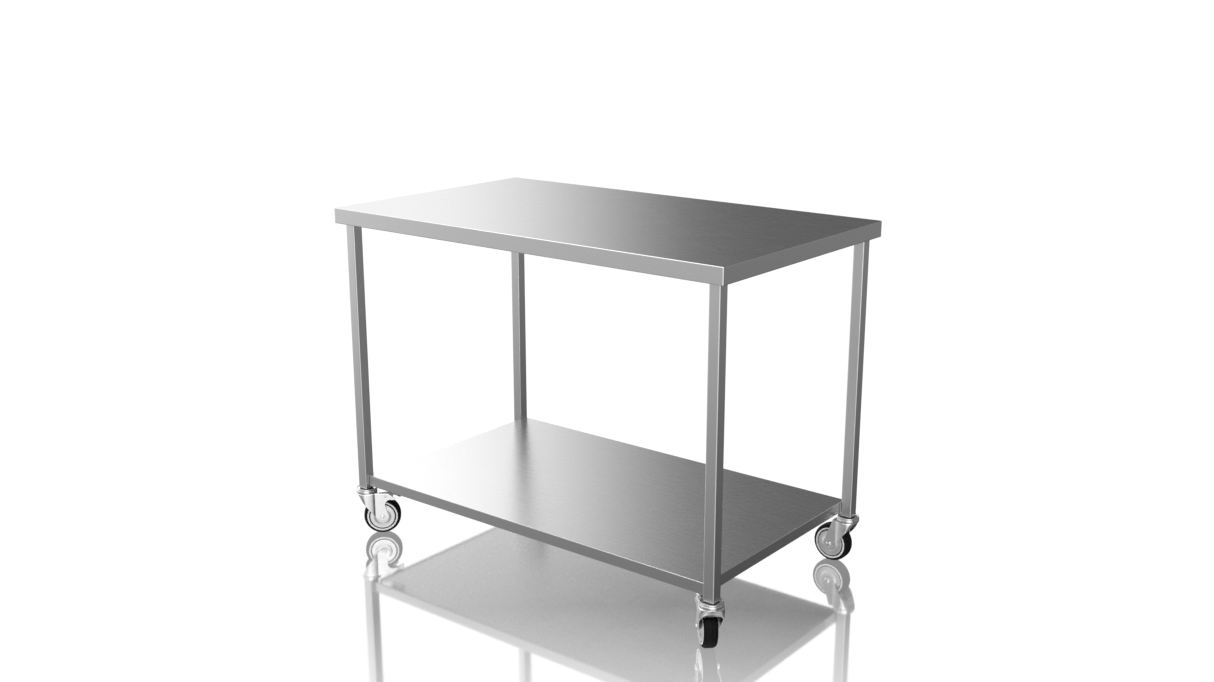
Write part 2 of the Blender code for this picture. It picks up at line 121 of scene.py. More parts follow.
# The studio's dim walls and, on them, panels of (level, azimuth, half width, softness). The low panel is
# strongest just below the horizon. Reflections don't see the floor, so GROUND_LEVEL stands for it there.
WALL_LEVEL = 0.10
PANELS = ((1.12, 174, 38, 13), (0.56, 275, 50, 14), (0.19, 40, 30, 20))
LOW_PANEL = (0.85, 318, 20, 16)
CEILING_LEVEL = 0.40
GROUND_LEVEL = 0.40

# The floor's reflection peaks at one viewing angle, and is weaker both closer to the camera and farther off.
FLOOR_SIZE = 30
FLOOR_HEIGHT = -0.0012
FILM_HEIGHT = -0.0004
FLOOR_ROUGHNESS = 0.06
FACING_CLOSE = 0.515
FACING_PEAK = 0.56
FACING_FAR = 0.66
GLOSS_PEAK = 0.80
GLOSS_FAR = 0.64
GLOSS_CLOSE_PART = 0.66

# The lights are discs that aim at a point this high over the floor's middle.
LIGHTS_AIM = 0.4


def make_camera():
    data = bpy.data.cameras.new("camera")
    data.lens = CAMERA_LENS
    data.sensor_width = SENSOR_WIDTH
    camera = bpy.data.objects.new("camera", data)
    camera.location = CAMERA_AT
    camera.rotation_euler = (math.radians(90 - CAMERA_DOWN), 0, math.radians(CAMERA_TURN))
    bpy.context.scene.collection.objects.link(camera)
    bpy.context.scene.camera = camera


def band(tree, angle, low, high, out_low=0.0, out_high=1.0, smooth=True):
    """A ramp over an angle in radians, between two limits in degrees."""
    return tree.ramp(angle, math.radians(low), math.radians(high), out_low, out_high, smooth)


def panel(tree, flat_direction, level, azimuth, half_width, softness):
    """The level within half_width of an azimuth, and 0 from softness further out."""
    angle = math.radians(azimuth)
    x = tree.math("MULTIPLY", flat_direction[0], math.cos(angle))
    y = tree.math("MULTIPLY", flat_direction[1], math.sin(angle))
    away = tree.math("ARCCOSINE", tree.math("ADD", x, y))
    return tree.math("MULTIPLY", band(tree, away, half_width + softness, half_width), level)


def make_world():
    """A studio of soft panels round the table. What the camera and the floor see of it is white."""
    world = bpy.data.worlds.new("studio")
    bpy.context.scene.world = world
    tree = Tree(world)
    coords = tree.add("ShaderNodeTexCoord")
    xyz = tree.add("ShaderNodeSeparateXYZ", {"Vector": coords.outputs["Generated"]}).outputs
    squares = tree.math("ADD", tree.math("MULTIPLY", xyz[0], xyz[0]), tree.math("MULTIPLY", xyz[1], xyz[1]))
    flat_length = tree.math("MAXIMUM", tree.math("SQRT", squares), 0.001)
    flat = (tree.math("DIVIDE", xyz[0], flat_length), tree.math("DIVIDE", xyz[1], flat_length))
    elevation = tree.math("ARCSINE", xyz[2])

    walls = WALL_LEVEL
    for settings in PANELS:
        walls = tree.math("ADD", walls, panel(tree, flat, *settings))
    darker_below = band(tree, elevation, -30, -9, 0.30, 1.0, smooth=False)
    brighter_above = band(tree, elevation, 13, 25, 1.0, 1.35)
    walls = tree.math("MULTIPLY", walls, tree.math("MULTIPLY", darker_below, brighter_above))

    low_panel = panel(tree, flat, *LOW_PANEL)
    low_panel = tree.math("MULTIPLY", low_panel, band(tree, elevation, -45, -9, 0.5, 1.0))
    low_panel = tree.math("MULTIPLY", low_panel, band(tree, elevation, 0, 10, 1.0, 0.15))
    walls = tree.math("ADD", walls, low_panel)

    up = band(tree, elevation, 35, 80)
    walls = tree.math("MULTIPLY", walls, tree.math("SUBTRACT", 1.0, up))
    dome = tree.math("ADD", walls, tree.math("MULTIPLY", up, CEILING_LEVEL))
    dome = tree.math("ADD", dome, band(tree, elevation, -40, -65, 0.0, GROUND_LEVEL))

    path = tree.add("ShaderNodeLightPath").outputs
    plain = tree.math("MAXIMUM", path["Is Camera Ray"], path["Is Transmission Ray"])
    colour = tree.mix(plain, dome, grey(WHITE_LEVEL))
    background = tree.add("ShaderNodeBackground", {"Color": colour, "Strength": 1.0})
    tree.add("ShaderNodeOutputWorld", {"Surface": background.outputs[0]})


def stage_plane(name, height):
    """A level square of the studio, which isn't part of the table, with a material to fill in."""
    mesh = bpy.data.meshes.new(name)
    bm = bmesh.new()
    bmesh.ops.create_grid(bm, x_segments=1, y_segments=1, size=FLOOR_SIZE)
    bm.to_mesh(mesh)
    bm.free()
    plane = bpy.data.objects.new(name, mesh)
    plane.location.z = height
    bpy.context.scene.collection.objects.link(plane)
    material, tree = new_material(name)
    mesh.materials.append(material)
    return plane, tree


def make_floor():
    """A white, polished floor, and over it a clear film that marks the light which the floor reflects."""
    floor, tree = stage_plane("floor", FLOOR_HEIGHT)
    floor.visible_glossy = False
    facing = tree.add("ShaderNodeLayerWeight", {"Blend": 0.5}).outputs["Facing"]
    far_off = tree.ramp(facing, FACING_PEAK, FACING_FAR, GLOSS_PEAK, GLOSS_FAR, smooth=False)
    close_by = tree.ramp(facing, FACING_CLOSE, FACING_PEAK, GLOSS_CLOSE_PART, 1.0, smooth=False)
    polish = tree.math("MULTIPLY", far_off, close_by)
    gloss = tree.add("ShaderNodeBsdfGlossy", {"Color": grey(1.0), "Roughness": FLOOR_ROUGHNESS})
    white = tree.add("ShaderNodeEmission", {"Color": grey(WHITE_LEVEL), "Strength": 1.0})
    both = tree.add("ShaderNodeMixShader", {0: polish, 1: white.outputs[0], 2: gloss.outputs[0]})
    tree.add("ShaderNodeOutputMaterial", {"Surface": both.outputs[0]})

    film, tree = stage_plane("floor_film", FILM_HEIGHT)
    film.visible_diffuse = False
    below = tree.add("ShaderNodeNewGeometry").outputs["Backfacing"]
    clear = tree.add("ShaderNodeBsdfTransparent")
    marking = tree.add("ShaderNodeBsdfRefraction", {"Color": grey(1.0), "Roughness": 0.0, "IOR": 1.0})
    shadow = tree.add("ShaderNodeLightPath").outputs["Is Shadow Ray"]
    marks = tree.math("MULTIPLY", below, tree.math("SUBTRACT", 1.0, shadow))
    both = tree.add("ShaderNodeMixShader", {0: marks, 1: clear.outputs[0], 2: marking.outputs[0]})
    tree.add("ShaderNodeOutputMaterial", {"Surface": both.outputs[0]})


def make_light(name, azimuth, elevation, distance, size, power):
    data = bpy.data.lights.new(name, "AREA")
    data.shape = "DISK"
    data.size = size
    data.energy = power
    light = bpy.data.objects.new(name, data)
    round_about = math.radians(azimuth)
    up = math.radians(elevation)
    flat = math.cos(up)
    direction = Vector((math.cos(round_about) * flat, math.sin(round_about) * flat, math.sin(up)))
    light.location = Vector((0, 0, LIGHTS_AIM)) + direction * distance
    light.rotation_euler = direction.to_track_quat("Z", "Y").to_euler()
    light.visible_camera = False
    bpy.context.scene.collection.objects.link(light)


# ---------------------------------------------------------------- materials

GRAIN_STRETCH = 0.012
GRAIN_SCALE = 1100
# How strong the painted shade at a piece's lower end is.
FOOT_BLEND = 0.95
# Painted shade in the wheel centre's groove: how dark it is, and how soft its edge is.
GRIME_PART = 0.22
GRIME_EDGE = 0.0003


def finish_material(tree, inputs):
    shader = tree.add("ShaderNodeBsdfPrincipled", inputs)
    tree.add("ShaderNodeOutputMaterial", {"Surface": shader.outputs[0]})


def finish_metal(tree, colour, rough, bump):
    inputs = {"Base Color": colour, "Metallic": 1.0, "Roughness": rough, "Normal": bump.outputs[0]}
    finish_material(tree, inputs)


def noise(tree, vector, scale, detail):
    return tree.add("ShaderNodeTexNoise", {"Vector": vector, "Scale": scale, "Detail": detail}).outputs[0]


def grain_lines(tree, place, axis):
    """Noise drawn out into long lines along an axis, 0 to 2."""
    stretch = [1.0, 1.0, 1.0]
    stretch[axis] = GRAIN_STRETCH
    stretched = tree.add("ShaderNodeMapping", {"Vector": place, "Scale": tuple(stretch)}).outputs[0]
    return noise(tree, stretched, GRAIN_SCALE, 3)


def brushed_steel(name, level, roughness, grain, sides=1.0, ends=None, foot=None):
    """Satin steel, brushed along the axis grain, 0 to 2, and along ends on the faces across that axis.

    Upright faces are painted at the level times a given factor: painted light or shade on them. With foot,
    painted shade darkens the steel towards that level, more and more towards the piece's lower end.
    """
    material, tree = new_material(name)
    coords = tree.add("ShaderNodeTexCoord").outputs
    place = coords["Object"]
    geometry = tree.add("ShaderNodeNewGeometry").outputs
    normal = tree.add("ShaderNodeSeparateXYZ", {"Vector": geometry["True Normal"]}).outputs
    lines = grain_lines(tree, place, grain)
    if ends is not None:
        across = tree.math("GREATER_THAN", tree.math("ABSOLUTE", normal[grain]), 0.75)
        end_lines = grain_lines(tree, place, ends)
        both = tree.add("ShaderNodeMix", {"Factor": across, "A": lines, "B": end_lines}, data_type="FLOAT")
        lines = both.outputs[0]
    clouds = noise(tree, place, 3, 2)
    smears = noise(tree, place, 9, 3)
    colour = tree.mix(tree.ramp(lines, 0.3, 0.7), grey(level * 0.985), grey(level * 1.01))
    colour = tree.mix(tree.ramp(clouds, 0.35, 0.65, 0.0, 0.20), colour, grey(level * 0.975))
    # Painted light and shade: upright faces are painted brighter or darker than the rest of the steel.
    upright = tree.ramp(tree.math("ABSOLUTE", normal[2]), 0.5, 0.9, 1.0, 0.0)
    colour = tree.mix(upright, colour, grey(level * sides))
    # Painted shade: the colour grows darker towards the piece's lower end.
    if foot:
        height = tree.add("ShaderNodeSeparateXYZ", {"Vector": coords["Generated"]}).outputs[2]
        dulled = tree.ramp(height, 0.0, 1.0, FOOT_BLEND, 0.0, smooth=False)
        colour = tree.mix(dulled, colour, grey(foot))
    fine = tree.ramp(lines, 0.3, 0.7, -0.015, 0.015)
    coarse = tree.ramp(smears, 0.3, 0.7, -0.003, 0.005)
    rough = tree.math("ADD", tree.math("ADD", fine, coarse), roughness)
    bump = tree.add("ShaderNodeBump", {"Strength": 0.02, "Distance": 0.00004, "Height": lines})
    finish_metal(tree, colour, rough, bump)
    return material


def plain_metal(name, level, roughness, scale=60, variation=0.04):
    """A plated or pickled metal: faint clouds and fine specks in its brightness and its polish."""
    material, tree = new_material(name)
    place = tree.add("ShaderNodeTexCoord").outputs["Object"]
    clouds = noise(tree, place, scale, 4)
    specks = noise(tree, place, scale * 12, 2)
    blend = tree.math("ADD", tree.math("MULTIPLY", clouds, 0.6), tree.math("MULTIPLY", specks, 0.4))
    dark = grey(level * (1 - variation))
    bright = grey(level * (1 + variation))
    colour = tree.mix(tree.ramp(blend, 0.35, 0.65), dark, bright)
    rough = tree.math("ADD", tree.ramp(blend, 0.35, 0.65, -0.03, 0.04), roughness)
    bump = tree.add("ShaderNodeBump", {"Strength": 0.06, "Distance": 0.0001, "Height": specks})
    finish_metal(tree, colour, rough, bump)
    return material


def rubber(name):
    """Black rubber with a fine texture and faint scuffs."""
    material, tree = new_material(name)
    place = tree.add("ShaderNodeTexCoord").outputs["Object"]
    specks = noise(tree, place, 900, 3)
    scuffs = noise(tree, place, 70, 4)
    colour = tree.mix(tree.ramp(scuffs, 0.45, 0.75), grey(0.002), grey(0.005))
    texture = tree.ramp(specks, 0.3, 0.7, 0.50, 0.58)
    rough = tree.math("ADD", texture, tree.ramp(scuffs, 0.4, 0.7, -0.03, 0.04))
    bump = tree.add("ShaderNodeBump", {"Strength": 0.15, "Distance": 0.0001, "Height": specks})
    finish = {"Base Color": colour, "Roughness": rough, "Normal": bump.outputs[0], "Specular IOR Level": 0.14}
    finish_material(tree, finish)
    return material


def plastic(name, level, grime=None):
    """Moulded plastic. Given a radius, painted shade makes it dark within that radius about the piece's own Z
    axis.
    """
    material, tree = new_material(name)
    place = tree.add("ShaderNodeTexCoord").outputs["Object"]
    clouds = noise(tree, place, 150, 3)
    colour = tree.mix(tree.ramp(clouds, 0.3, 0.7), grey(level * 0.97), grey(level))
    # Painted shade: dark within the radius, where the groove under the thread guard lies in shade.
    if grime:
        x, y, _ = tree.add("ShaderNodeSeparateXYZ", {"Vector": place}).outputs
        squares = tree.math("ADD", tree.math("MULTIPLY", x, x), tree.math("MULTIPLY", y, y))
        inside = tree.ramp(tree.math("SQRT", squares), grime - GRIME_EDGE, grime + GRIME_EDGE, 1.0, 0.0)
        colour = tree.mix(inside, colour, grey(level * GRIME_PART))
    rough = tree.ramp(clouds, 0.3, 0.7, 0.36, 0.46)
    finish_material(tree, {"Base Color": colour, "Roughness": rough})
    return material


# Painted light: the worktop's upright faces are painted a tenth brighter.
SHEET = brushed_steel("satin_steel_sheet", level=0.60, roughness=0.27, grain=0, sides=1.1, ends=1)
# A brighter copy of the sheet steel: painted light on the shelf's top, and painted shade on its upright
# faces.
SHELF = brushed_steel("satin_steel_shelf_painted_light", level=0.70, roughness=0.27, grain=0, sides=0.72, ends=1)
STEEL_X = brushed_steel("satin_steel_along_x", level=0.62, roughness=0.30, grain=0)
# Painted shade: the legs darken towards their lower ends.
STEEL_LEG = brushed_steel("satin_steel_legs", level=0.71, roughness=0.31, grain=2, foot=0.50)
STEEL_RAIL = brushed_steel("satin_steel_rails", level=0.64, roughness=0.31, grain=2)
DULL = plain_metal("mill_finish_steel", level=0.76, roughness=0.27, scale=8, variation=0.03)
WELD = plain_metal("weld_steel", level=0.60, roughness=0.34)
ZINC = plain_metal("bright_zinc", level=0.80, roughness=0.25)
GUARD = plain_metal("guard_zinc", level=0.80, roughness=0.42, scale=45, variation=0.07)
RUBBER = rubber("black_rubber")
# The wheel centre gets painted shade inside the thread guard's edge.
WHITE = plastic("white_polyamide", level=0.68, grime=0.0366)
DARK = plastic("dark_polyamide", level=0.04)


# ---------------------------------------------------------------- meshes


def cross(a, b):
    return a[0] * b[1] - a[1] * b[0]


def rounded(corners, steps=5, closed=True):
    """An outline of (x, y) or (x, y, radius) corners, each with a radius made round."""
    points = []
    for i, corner in enumerate(corners):
        here = Vector(corner[:2])
        inside = closed or 0 < i < len(corners) - 1
        if len(corner) < 3 or not inside:
            points.append(here)
            continue
        before = Vector(corners[i - 1][:2]) - here
        after = Vector(corners[(i + 1) % len(corners)][:2]) - here
        half = before.angle(after) / 2
        reach = min(corner[2] / math.tan(half), 0.499 * before.length, 0.499 * after.length)
        radius = reach * math.tan(half)
        middle = (before.normalized() + after.normalized()).normalized()
        centre = here + middle * (radius / math.sin(half))
        start = here + before.normalized() * reach - centre
        end = here + after.normalized() * reach - centre
        sweep = math.atan2(cross(start, end), start.dot(end))
        for step in range(steps + 1):
            turn = Matrix.Rotation(sweep * step / steps, 2)
            points.append(centre + turn @ start)
    return [tuple(point) for point in points]


def arc(centre, radius, start, end, steps):
    points = []
    for step in range(steps + 1):
        angle = math.radians(start + (end - start) * step / steps)
        points.append((centre[0] + radius * math.cos(angle), centre[1] + radius * math.sin(angle)))
    return points


def circle(centre, radius, steps=32):
    return arc(centre, radius, 0, 360 - 360 / steps, steps - 1)


def smooth(mesh, angle=32):
    mesh.shade_smooth()
    mesh.set_sharp_from_angle(angle=math.radians(angle))
    return mesh


def from_bmesh(name, bm):
    mesh = bpy.data.meshes.new(name)
    bm.to_mesh(mesh)
    bm.free()
    return mesh


def shaped(mesh, *steps):
    """The mesh after these modifiers, each given as its type and its settings."""
    obj = bpy.data.objects.new(mesh.name, mesh)
    bpy.context.scene.collection.objects.link(obj)
    for kind, settings in steps:
        modifier = obj.modifiers.new(kind.lower(), kind)
        for name, value in settings.items():
            setattr(modifier, name, value)
    graph = bpy.context.evaluated_depsgraph_get()
    result = bpy.data.meshes.new_from_object(obj.evaluated_get(graph))
    result.name = mesh.name
    bpy.data.objects.remove(obj)
    return result


def even_shading(mesh, angle=30):
    """Smooth shading that keeps large flat faces flat."""
    smooth(mesh, angle)
    return shaped(mesh, ("WEIGHTED_NORMAL", {"keep_sharp": True, "weight": 90}))


def edge_bevel(width, segments=2, angle=40):
    limit = math.radians(angle)
    return "BEVEL", {"width": width, "segments": segments, "limit_method": "ANGLE", "angle_limit": limit}


def solidify(thickness):
    return "SOLIDIFY", {"thickness": thickness, "offset": -1.0, "use_even_offset": True}


def cut(mesh, operation, *others):
    """The mesh cut by, or joined with, other closed meshes."""
    helpers = []
    steps = []
    for other in others:
        helper = bpy.data.objects.new(other.name, other)
        bpy.context.scene.collection.objects.link(helper)
        helpers.append(helper)
        steps.append(("BOOLEAN", {"operation": operation, "object": helper}))
    result = shaped(mesh, *steps)
    for helper in helpers:
        bpy.data.objects.remove(helper)
    return result


def lathe(name, profile, steps=96):
    """A profile of (radius, height) points turned about Z: closed, or open from the axis to the axis."""
    bm = bmesh.new()
    verts = [bm.verts.new((radius, 0, height)) for radius, height in profile]
    edges = [bm.edges.new(pair) for pair in zip(verts, verts[1:])]
    if profile[0][0] > 0:
        edges.append(bm.edges.new((verts[-1], verts[0])))
    turn = {"cent": (0, 0, 0), "axis": (0, 0, 1), "angle": 2 * math.pi}
    bmesh.ops.spin(bm, geom=verts + edges, steps=steps, use_merge=True, **turn)
    bmesh.ops.remove_doubles(bm, verts=bm.verts, dist=1e-7)
    bmesh.ops.recalc_face_normals(bm, faces=bm.faces)
    return smooth(from_bmesh(name, bm))


def prism(name, outlines, low, high):
    """A flat outline, with any holes as further outlines, between two heights."""
    curve = bpy.data.curves.new(name, "CURVE")
    curve.dimensions = "2D"
    curve.fill_mode = "BOTH"
    curve.extrude = (high - low) / 2
    for outline in outlines:
        spline = curve.splines.new("POLY")
        spline.points.add(len(outline) - 1)
        for point, (x, y) in zip(spline.points, outline):
            point.co = (x, y, 0.0, 1.0)
        spline.use_cyclic_u = True
    obj = bpy.data.objects.new(name, curve)
    bpy.context.scene.collection.objects.link(obj)
    graph = bpy.context.evaluated_depsgraph_get()
    mesh = bpy.data.meshes.new_from_object(obj.evaluated_get(graph))
    bpy.data.objects.remove(obj)
    bpy.data.curves.remove(curve)
    bm = bmesh.new()
    bm.from_mesh(mesh)
    bmesh.ops.remove_doubles(bm, verts=bm.verts, dist=1e-6)
    bmesh.ops.translate(bm, verts=bm.verts, vec=(0, 0, (low + high) / 2))
    bm.to_mesh(mesh)
    bm.free()
    mesh.name = name
    return mesh


def side_prism(name, outlines, half_width, centre=0.0):
    """A prism whose outline lies in the XZ plane and which runs across Y."""
    mesh = prism(name, outlines, -half_width - centre, half_width - centre)
    mesh.transform(Matrix.Rotation(math.pi / 2, 4, "X"))
    return mesh


def merged(name, *meshes):
    bm = bmesh.new()
    for mesh in meshes:
        bm.from_mesh(mesh)
    return from_bmesh(name, bm)


def add_piece(name, mesh, material, body, replaced=(), matrix=None):
    """Puts a mesh into the model. It rides on a body and stands for the CAD nodes that it replaces."""
    if not mesh.materials:
        mesh.materials.append(material)
    obj = bpy.data.objects.new(name, mesh)
    if matrix is not None:
        obj.matrix_world = matrix
    bpy.context.scene.collection.objects.link(obj)
    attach(obj, body)
    if replaced:
        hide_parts(*replaced)


# ---------------------------------------------------------------- sheet and tube parts

BEND_RADIUS = 0.0022
CORNER_RADIUS = 0.0045
TUBE_CORNER = 0.0040
TOP_SHEET = 0.0015
TOP_LIP = 0.012
SHELF_SHEET = 0.0012
SHELF_LIP = 0.010
TUBE_WALL = 0.0015
EDGE_EASE = 0.0003
SMALLEST_CORNER = 0.0004
HAT_CROWN = 0.060
HAT_FLANGE = 0.020
CORNERS = ("front_left", "front_right", "back_left", "back_right")


def middle_of(node):
    low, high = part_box(node)
    return (low + high) / 2, high - low


def ringed(name, size, corner, rings, capped):
    """A rounded rectangle taken through (inset, height) steps: capped at both ends, or closed on itself."""
    bm = bmesh.new()
    loops = []
    for inset, height in rings:
        radius = max(corner - inset, SMALLEST_CORNER)
        x = size[0] / 2 - inset
        y = size[1] / 2 - inset
        corners = [(x, y, radius), (-x, y, radius), (-x, -y, radius), (x, -y, radius)]
        loops.append([bm.verts.new((*point, height)) for point in rounded(corners, 8)])
    pairs = list(zip(loops, loops[1:]))
    if capped:
        bm.faces.new(loops[0])
        bm.faces.new(reversed(loops[-1]))
    else:
        pairs.append((loops[-1], loops[0]))
    for first, second in pairs:
        for i in range(len(first)):
            bm.faces.new((first[i - 1], second[i - 1], second[i], first[i]))
    bmesh.ops.recalc_face_normals(bm, faces=bm.faces)
    return even_shading(from_bmesh(name, bm))


def tray(name, size, lip, sheet):
    """A sheet folded down on its four sides, with a lip turned in below, centred on the origin."""
    top = size[2] / 2
    bend = BEND_RADIUS
    inner_bend = bend - sheet
    ease = EDGE_EASE
    outside = arc((bend, top - bend), bend, 90, 180, 6) + arc((bend, bend - top), bend, 180, 270, 6)
    edge = [(lip - ease, -top), (lip, ease - top), (lip, sheet - ease - top), (lip - ease, sheet - top)]
    lower_inside = arc((bend, bend - top), inner_bend, 270, 180, 4)
    inside = lower_inside + arc((bend, top - bend), inner_bend, 180, 90, 4)
    return ringed(name, size, CORNER_RADIUS, outside + edge + inside, True)


def square_tube(name, size, length, wall):
    """A square tube along Z, open at both ends, centred on the origin."""
    end = length / 2
    ease = EDGE_EASE
    half = [(0.0, end - ease), (ease, end), (wall - ease, end), (wall, end - ease)]
    rings = half + [(inset, -height) for inset, height in reversed(half)]
    return ringed(name, (size, size), TUBE_CORNER, rings, False)


def add_sheets():
    for node, lip, sheet, steel in (
        ("worktop", TOP_LIP, TOP_SHEET, SHEET),
        ("lower_shelf", SHELF_LIP, SHELF_SHEET, SHELF),
    ):
        centre, size = middle_of(node)
        mesh = tray(f"{node}_sheet", size, lip, sheet)
        add_piece(mesh.name, mesh, steel, "table", [node], Matrix.Translation(centre))


def add_tubes():
    for corner in CORNERS:
        node = f"leg_{corner}"
        centre, size = middle_of(node)
        mesh = square_tube(f"{node}_tube", size.x, size.z, TUBE_WALL)
        add_piece(mesh.name, mesh, STEEL_LEG, "table", [node], Matrix.Translation(centre))
    for side, axis in (("front", 0), ("back", 0), ("left", 1), ("right", 1)):
        node = f"rail_{side}"
        centre, size = middle_of(node)
        mesh = square_tube(f"{node}_tube", size.z, size[axis], TUBE_WALL)
        turn = Matrix.Rotation(math.pi / 2, 4, "Y" if axis == 0 else "X")
        place = Matrix.Translation(centre) @ turn
        add_piece(mesh.name, mesh, STEEL_RAIL, "table", [node], place)


def add_stiffener():
    """The hat channel under the worktop, with rounded folds."""
    centre, size = middle_of("worktop_stiffener")
    inner = HAT_CROWN / 2
    outer = inner + TUBE_WALL
    top = size.z / 2
    flange = outer + HAT_FLANGE
    half = [
        (inner, TUBE_WALL - top, 0.0015),
        (inner, top, 0.0025),
        (flange, top),
        (flange, top - TUBE_WALL),
        (outer, top - TUBE_WALL, 0.0010),
        (outer, -top, 0.0030),
    ]
    outline = half + [(-corner[0], *corner[1:]) for corner in reversed(half)]
    mesh = side_prism("worktop_stiffener_channel", [rounded(outline, 5)], size.x / 2)
    mesh.transform(Matrix.Rotation(math.pi / 2, 4, "Z"))
    place = Matrix.Translation(centre)
    add_piece(mesh.name, smooth(mesh), STEEL_X, "table", ["worktop_stiffener"], place)


SHELF_WELD_RADIUS = 0.0009
RAIL_WELD_RADIUS = 0.0012
WELD_STEP = 0.0006
WELD_SIDES = 10
WELD_RIPPLE = 0.05


def bead(name, points, radius, seed):
    """A welded seam: a rippled rod along a path."""
    path = [Vector(point) for point in points]
    stations = []
    for start, end in zip(path, path[1:]):
        count = max(2, round((end - start).length / WELD_STEP))
        stations += [start.lerp(end, i / count) for i in range(count)]
    stations.append(path[-1])
    bm = bmesh.new()
    rings = []
    for i, here in enumerate(stations):
        along = (stations[min(i + 1, len(stations) - 1)] - stations[max(i - 1, 0)]).normalized()
        turn = along.to_track_quat("Z", "Y").to_matrix()
        ends = min(i, len(stations) - 1 - i)
        ripple = 1 + WELD_RIPPLE * math.sin(i * 1.9 + seed) + WELD_RIPPLE * math.sin(i * 0.37 + 2 * seed)
        size = radius * ripple * min(1.0, 0.35 + 0.25 * ends)
        ring = []
        for side in range(WELD_SIDES):
            angle = 2 * math.pi * side / WELD_SIDES
            offset = Vector((size * math.cos(angle), size * math.sin(angle), 0))
            ring.append(bm.verts.new(here + turn @ offset))
        rings.append(ring)
    for first, second in zip(rings, rings[1:]):
        for side in range(WELD_SIDES):
            after = (side + 1) % WELD_SIDES
            bm.faces.new((first[side], first[after], second[after], second[side]))
    bm.faces.new(reversed(rings[0]))
    bm.faces.new(rings[-1])
    bmesh.ops.recalc_face_normals(bm, faces=bm.faces)
    return smooth(from_bmesh(name, bm), 60)


def add_welds():
    """Seams between the shelf and the legs, and round the rails' ends."""
    shelf_low, shelf_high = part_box("lower_shelf")
    for number, corner in enumerate(CORNERS):
        low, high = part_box(f"leg_{corner}")
        left = low.x < 0
        front = low.y < 0
        x = high.x if left else low.x
        outer_y = shelf_low.y if front else shelf_high.y
        inner_y = high.y if front else low.y
        bottom = shelf_low.z + 0.002
        top = shelf_high.z
        path = [(x, outer_y, bottom), (x, outer_y, top), (x, inner_y, top), (x, inner_y, bottom)]
        mesh = bead(f"shelf_weld_{corner}", path, SHELF_WELD_RADIUS, number)
        add_piece(mesh.name, mesh, WELD, "table")
    for number, side in enumerate(("front", "back", "left", "right")):
        low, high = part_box(f"rail_{side}")
        along = 0 if side in ("front", "back") else 1
        across = 1 - along
        for end, at in (("low", low[along]), ("high", high[along])):
            path = []
            for side_face, z in ((high, high.z), (high, low.z), (low, low.z), (low, high.z)):
                point = [0, 0, z]
                point[along] = at
                point[across] = side_face[across]
                path.append(point)
            mesh = bead(f"rail_weld_{side}_{end}", path, RAIL_WELD_RADIUS, 7 + number)
            add_piece(mesh.name, mesh, WELD, "table")


# ---------------------------------------------------------------- castor pieces

# Heads, forks and brakes are drawn with the swivel axis as Z, the floor at 0 and the wheel trailing towards
# +X. Wheels, thread guards, bolts and nuts are drawn about the wheel's axle, which is their Z.

WHEEL_RADIUS = 0.050
TYRE_HALF_WIDTH = 0.0168
TYRE_INNER_RADIUS = 0.0416
RIM_HALF_WIDTH = 0.0173
RIM_RADIUS = 0.0413
HUB_RADIUS = 0.008
AXLE_RADIUS = 0.004
CROWN_TOP = 0.1195
CROWN_RADIUS = 0.0295
FORK_SHEET = 0.0025
CHEEK_FACE = 0.024
CREASE_X = 0.022
HEAD_BOTTOM = 0.1218
LIP_BOTTOM = 0.1201
DISH_TOP = 0.1316
DISH_FLOOR = 0.1302
KINGPIN_RADIUS = 0.006
BALL_RING_RADIUS = 0.0203
BALL_RADIUS = 0.0023
PEDAL_PIVOT = (0.050, 0.110)
PIN_RADIUS = 0.003
TRAIL = 0.040
GAP = 0.0003


def both_sides(upper):
    """A closed profile from its upper half, given from the outer side inwards."""
    return [(r, h) for r, h in upper] + [(r, -h) for r, h in reversed(upper)]


def tyre_mesh():
    """A soft black tread: flat in the middle with a fine mould line, and round shoulders."""
    upper = [(WHEEL_RADIUS, 0.00015), (WHEEL_RADIUS - 0.0002, 0.0005)]
    flat = 0.0070
    drop = 0.0078
    spread = TYRE_HALF_WIDTH - flat
    for degrees in range(0, 91, 9):
        angle = math.radians(degrees)
        upper.append((WHEEL_RADIUS - 0.0002 - drop * (1 - math.cos(angle)), flat + spread * math.sin(angle)))
    upper.append((TYRE_INNER_RADIUS + 0.0002, TYRE_HALF_WIDTH - 0.0001))
    upper.append((TYRE_INNER_RADIUS, TYRE_HALF_WIDTH - 0.0005))
    return lathe("tyre", both_sides(upper), 128)


def wheel_centre_mesh():
    """A moulded centre: a rim with soft edges, a thin web and a hub."""
    corners = [
        (RIM_RADIUS, 0.0100, 0),
        (RIM_RADIUS, RIM_HALF_WIDTH, 0.0007),
        (0.0370, RIM_HALF_WIDTH, 0.0007),
        (0.0358, 0.0075, 0.0012),
        (0.0340, 0.0060, 0.0010),
        (0.0120, 0.0060, 0.0020),
        (0.0095, 0.0120, 0.0010),
        (HUB_RADIUS, 0.0212, 0.0003),
        (AXLE_RADIUS + GAP, 0.0212, 0.0003),
        (AXLE_RADIUS + GAP, 0.0100, 0),
    ]
    upper = rounded([corner if corner[2] else corner[:2] for corner in corners], 4, closed=False)
    return lathe("wheel_centre", both_sides(upper), 128)


def thread_guard_mesh():
    """A pressed steel disc: a raised boss, a shallow dish round it and a turned edge, facing +Z."""
    outside = [
        (HUB_RADIUS + GAP, 0.0203),
        (0.0175, 0.0200, 0.0060),
        (0.0235, 0.0176, 0.0080),
        (0.0315, 0.0170, 0.0050),
        (0.0328, 0.0173, 0.0010),
        (0.0335, 0.0164, 0.0005),
        (0.0335, 0.0150),
    ]
    outer = rounded(outside, 5, closed=False)
    inner = rounded(
        [
            (0.0327, 0.0150),
            (0.0325, 0.0162, 0.0005),
            (0.0315, 0.0158, 0.0020),
            (0.0231, 0.0164, 0.0060),
            (0.0170, 0.0188, 0.0060),
            (HUB_RADIUS + GAP, 0.0191),
        ],
        5,
        closed=False,
    )
    return lathe("thread_guard", outer + inner, 128)


